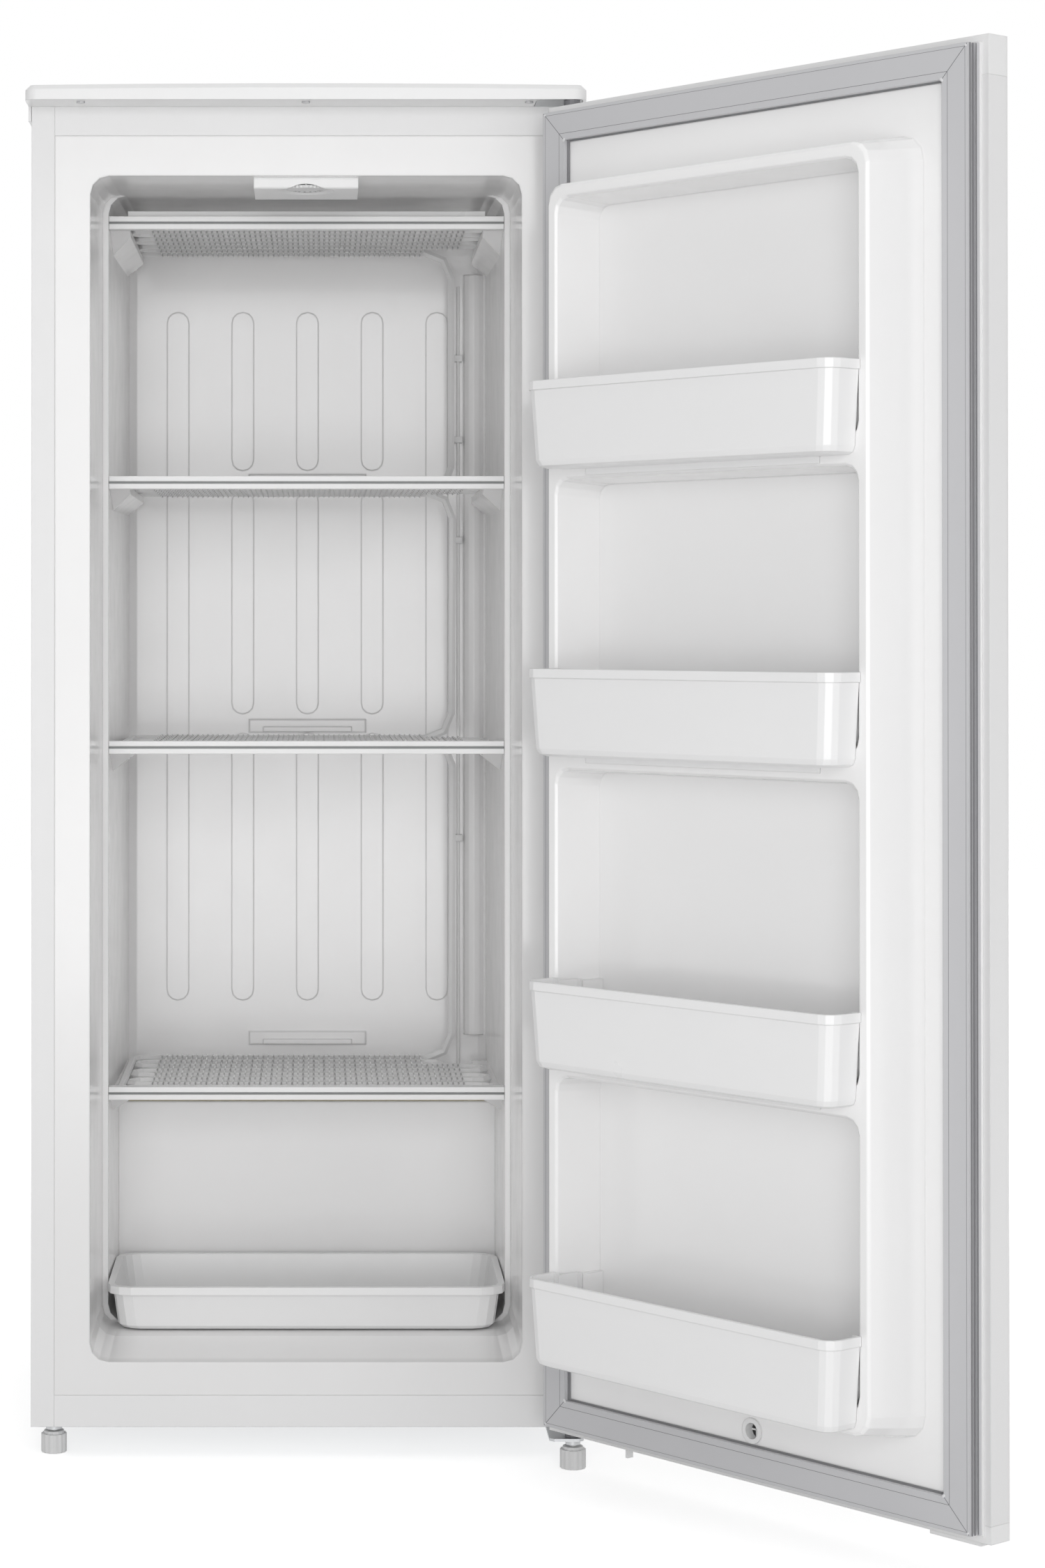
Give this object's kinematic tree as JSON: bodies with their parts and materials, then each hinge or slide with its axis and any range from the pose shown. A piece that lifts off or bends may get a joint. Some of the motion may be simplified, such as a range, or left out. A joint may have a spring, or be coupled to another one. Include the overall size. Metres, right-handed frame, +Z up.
{
  "type": "upright freezer",
  "caption": "White upright freezer with its door swung open: evaporator shelves, door bins, loose tray, overhanging worktop and levelling feet.",
  "frame": {"origin": "on the floor, on the axis of the door's hinge, at the middle of the levelling foot that stands under the lower hinge", "axes": "+X to the right seen from the front, +Y from the front to the back, +Z up"},
  "size_m": [0.9679, 1.1113, 1.4869],
  "materials": {
    "shell_white": "gloss",
    "liner_white": "gloss",
    "trim_white": "satin",
    "bin_white": "gloss",
    "tube_white": "satin",
    "dial_white": "matte",
    "gasket_grey": "matte",
    "foam": "matte",
    "steel_grey": "satin",
    "pin_steel": "satin",
    "foot_grey": "matte",
    "bush_grey": "matte",
    "compressor_black": "satin",
    "relay_black": "matte",
    "copper": "satin",
    "rubber_black": "matte",
    "lock_grey": "polished"
  },
  "bodies": {
    "cabinet": {"back_panel": "steel_grey", "base_plate": "steel_grey", "bottom_hinge_bracket": "steel_grey", "bottom_hinge_pin": "pin_steel", "bottom_rail": "shell_white", "cabinet_foam": "foam", "capillary_line": "tube_white", "coil_guard": "trim_white", "compressor": "compressor_black", "compressor_base": "steel_grey", "compressor_grommets": "rubber_black", "compressor_pipes": "copper", "condenser_coil": "compressor_black", "evaporator_risers": "tube_white", "filter_drier": "copper", "header_rail": "shell_white", "hinge_screws": "pin_steel", "hump_panel": "steel_grey", "liner": "liner_white", "outer_shell": "shell_white", "pipe_clips": "trim_white", "rear_feet": "rubber_black", "shelf_trim_1": "trim_white", "shelf_trim_2": "trim_white", "shelf_trim_3": "trim_white", "shelf_trim_4": "trim_white", "shelf_tube_1": "tube_white", "shelf_tube_2": "tube_white", "shelf_tube_3": "tube_white", "shelf_tube_4": "tube_white", "shelf_wires_1": "tube_white", "shelf_wires_2": "tube_white", "shelf_wires_3": "tube_white", "shelf_wires_4": "tube_white", "start_relay": "relay_black", "suction_line": "tube_white", "thermostat_body": "dial_white", "thermostat_housing": "trim_white", "top_hinge_bracket": "steel_grey", "top_hinge_pin": "pin_steel", "worktop": "trim_white", "worktop_screws": "pin_steel"},
    "door": {"door_skin": "shell_white", "door_foam": "foam", "door_liner": "liner_white", "door_gasket": "gasket_grey", "door_cap_top": "trim_white", "door_cap_bottom": "trim_white", "door_bushes": "bush_grey", "lock_case": "trim_white"},
    "dial": {"thermostat_dial": "dial_white"},
    "tray": {"tray": "trim_white"},
    "bin_1": {"bin_1": "bin_white"},
    "bin_2": {"bin_2": "bin_white"},
    "bin_3": {"bin_3": "bin_white"},
    "bin_4": {"bin_4": "bin_white"},
    "left_foot": {"front_left_foot": "foot_grey"},
    "right_foot": {"front_right_foot": "foot_grey"},
    "lock": {"lock_cylinder": "lock_grey"}
  },
  "joints": [
    {"name": "door_hinge", "type": "hinge", "parent": "cabinet", "child": "door", "pos_m": [0, 0, 0], "axis": [0, 0, 1], "range_deg": [-129.75, 15]},
    {"name": "dial_turn", "type": "hinge", "parent": "cabinet", "child": "dial", "pos_m": [-0.2868, 0.0784, 1.385], "axis": [0, 0, 1], "range_deg": [-150, 150]},
    {"name": "tray_slide", "type": "slide", "parent": "cabinet", "child": "tray", "axis": [0, -1, 0], "range_m": [0, 0.2]},
    {"name": "bin_1_lift", "type": "slide", "parent": "door", "child": "bin_1", "axis": [0, 0, 1], "range_m": [0, 0.02]},
    {"name": "bin_2_lift", "type": "slide", "parent": "door", "child": "bin_2", "axis": [0, 0, 1], "range_m": [0, 0.02]},
    {"name": "bin_3_lift", "type": "slide", "parent": "door", "child": "bin_3", "axis": [0, 0, 1], "range_m": [0, 0.02]},
    {"name": "bin_4_lift", "type": "slide", "parent": "door", "child": "bin_4", "axis": [0, 0, 1], "range_m": [0, 0.02]},
    {"name": "left_foot_turn", "type": "hinge", "parent": "cabinet", "child": "left_foot", "pos_m": [-0.5628, 0.0724, 0], "axis": [0, 0, 1], "continuous": true},
    {"name": "right_foot_turn", "type": "hinge", "parent": "cabinet", "child": "right_foot", "pos_m": [0, 0, 0], "axis": [0, 0, 1], "continuous": true},
    {"name": "lock_turn", "type": "hinge", "parent": "door", "child": "lock", "pos_m": [0.17769, -0.23305, 0.097], "axis": [-0.7688, -0.6394, 0], "range_deg": [0, 90]}
  ]
}
